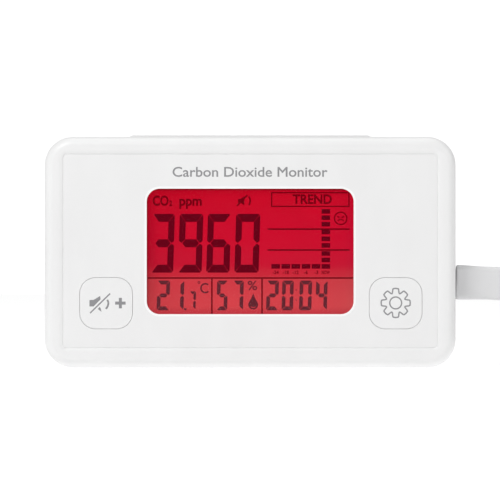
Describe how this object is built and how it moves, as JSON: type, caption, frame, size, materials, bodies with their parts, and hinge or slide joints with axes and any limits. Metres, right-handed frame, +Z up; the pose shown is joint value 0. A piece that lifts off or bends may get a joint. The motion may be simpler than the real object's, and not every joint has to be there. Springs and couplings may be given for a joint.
{
  "type": "carbon dioxide monitor",
  "caption": "Desktop carbon dioxide monitor with a lit display in a white rounded case, push buttons, a fold-out rear stand and a plugged-in USB lead.",
  "frame": {"origin": "on the table, under the middle of the case, leaving the USB lead out", "axes": "+X to the right seen from the front, -Y out of the front face, +Z up"},
  "size_m": [0.2045, 0.0499, 0.0739],
  "materials": {
    "case_plastic": "white ABS, satin gloss",
    "panel_plastic": "white ABS, satin, grey printing",
    "clear_plastic": "clear acrylic, polished",
    "display": "liquid-crystal glass, lit red from behind",
    "board": "glass-epoxy board, green solder mask",
    "black_plastic": "moulded black",
    "steel": "nickel plated",
    "gold_plating": "gold-coloured reflective plating",
    "rubber": "matt",
    "white_sheet": "matt white",
    "lamp_glass": "clear",
    "lead_plastic": "light grey soft PVC"
  },
  "bodies": {
    "housing": {"front_shell": "case_plastic", "front_panel": "panel_plastic", "rear_shell": "case_plastic", "display_window": "clear_plastic", "case_screw_1": "steel", "case_screw_2": "steel", "case_screw_3": "steel", "case_screw_4": "steel", "mute_switch": "black_plastic", "settings_switch": "black_plastic", "lcd_holder": "case_plastic", "lcd_glass": "display", "contact_strip": "rubber", "diffuser_sheet": "white_sheet", "light_guide": "clear_plastic", "reflector_sheet": "white_sheet", "backlight_lamp_1": "lamp_glass", "backlight_lamp_2": "lamp_glass", "backlight_lamp_3": "lamp_glass", "main_board": "board", "board_screw_1": "steel", "board_screw_2": "steel", "board_screw_3": "steel", "board_screw_4": "steel", "processor_chip": "black_plastic", "display_driver_chip": "black_plastic", "quartz_crystal": "steel", "voltage_regulator": "black_plastic", "smoothing_capacitor": "steel", "buzzer": "black_plastic", "humidity_sensor": "black_plastic", "gas_sensor_board": "board", "gas_sensor_header": "black_plastic", "optical_chamber": "gold_plating", "chamber_filter": "white_sheet", "infrared_lamp": "lamp_glass", "infrared_detector": "steel", "usb_socket": "steel", "usb_socket_tongue": "black_plastic"},
    "stand": {"stand": "case_plastic"},
    "mute_button": {"mute_button": "panel_plastic", "mute_switch_plunger": "black_plastic"},
    "settings_button": {"settings_button": "panel_plastic", "settings_switch_plunger": "black_plastic"},
    "usb_lead": {"usb_plug_shell": "steel", "usb_plug_grip": "lead_plastic", "usb_strain_relief": "lead_plastic", "usb_cable": "lead_plastic", "cable_coil": "lead_plastic", "cable_tie": "rubber", "usb_cable_tail": "lead_plastic", "usb_a_strain_relief": "lead_plastic", "usb_a_grip": "lead_plastic", "usb_a_shell": "steel", "usb_a_tongue": "white_sheet"}
  },
  "joints": [
    {"name": "stand_fold", "type": "hinge", "parent": "housing", "child": "stand", "pos_m": [0, 0.0121, 0.0036], "axis": [-1, 0, 0], "range_deg": [0, 92]},
    {"name": "mute_button_press", "type": "slide", "parent": "housing", "child": "mute_button", "axis": [0, 1, 0], "range_m": [0, 0.0005], "stiffness_N_per_m": 800, "springref_m": -0.001},
    {"name": "settings_button_press", "type": "slide", "parent": "housing", "child": "settings_button", "axis": [0, 1, 0], "range_m": [0, 0.0005], "stiffness_N_per_m": 800, "springref_m": -0.001},
    {"name": "usb_plug_pull", "type": "slide", "parent": "housing", "child": "usb_lead", "axis": [1, 0, 0], "range_m": [0, 0.007]}
  ]
}
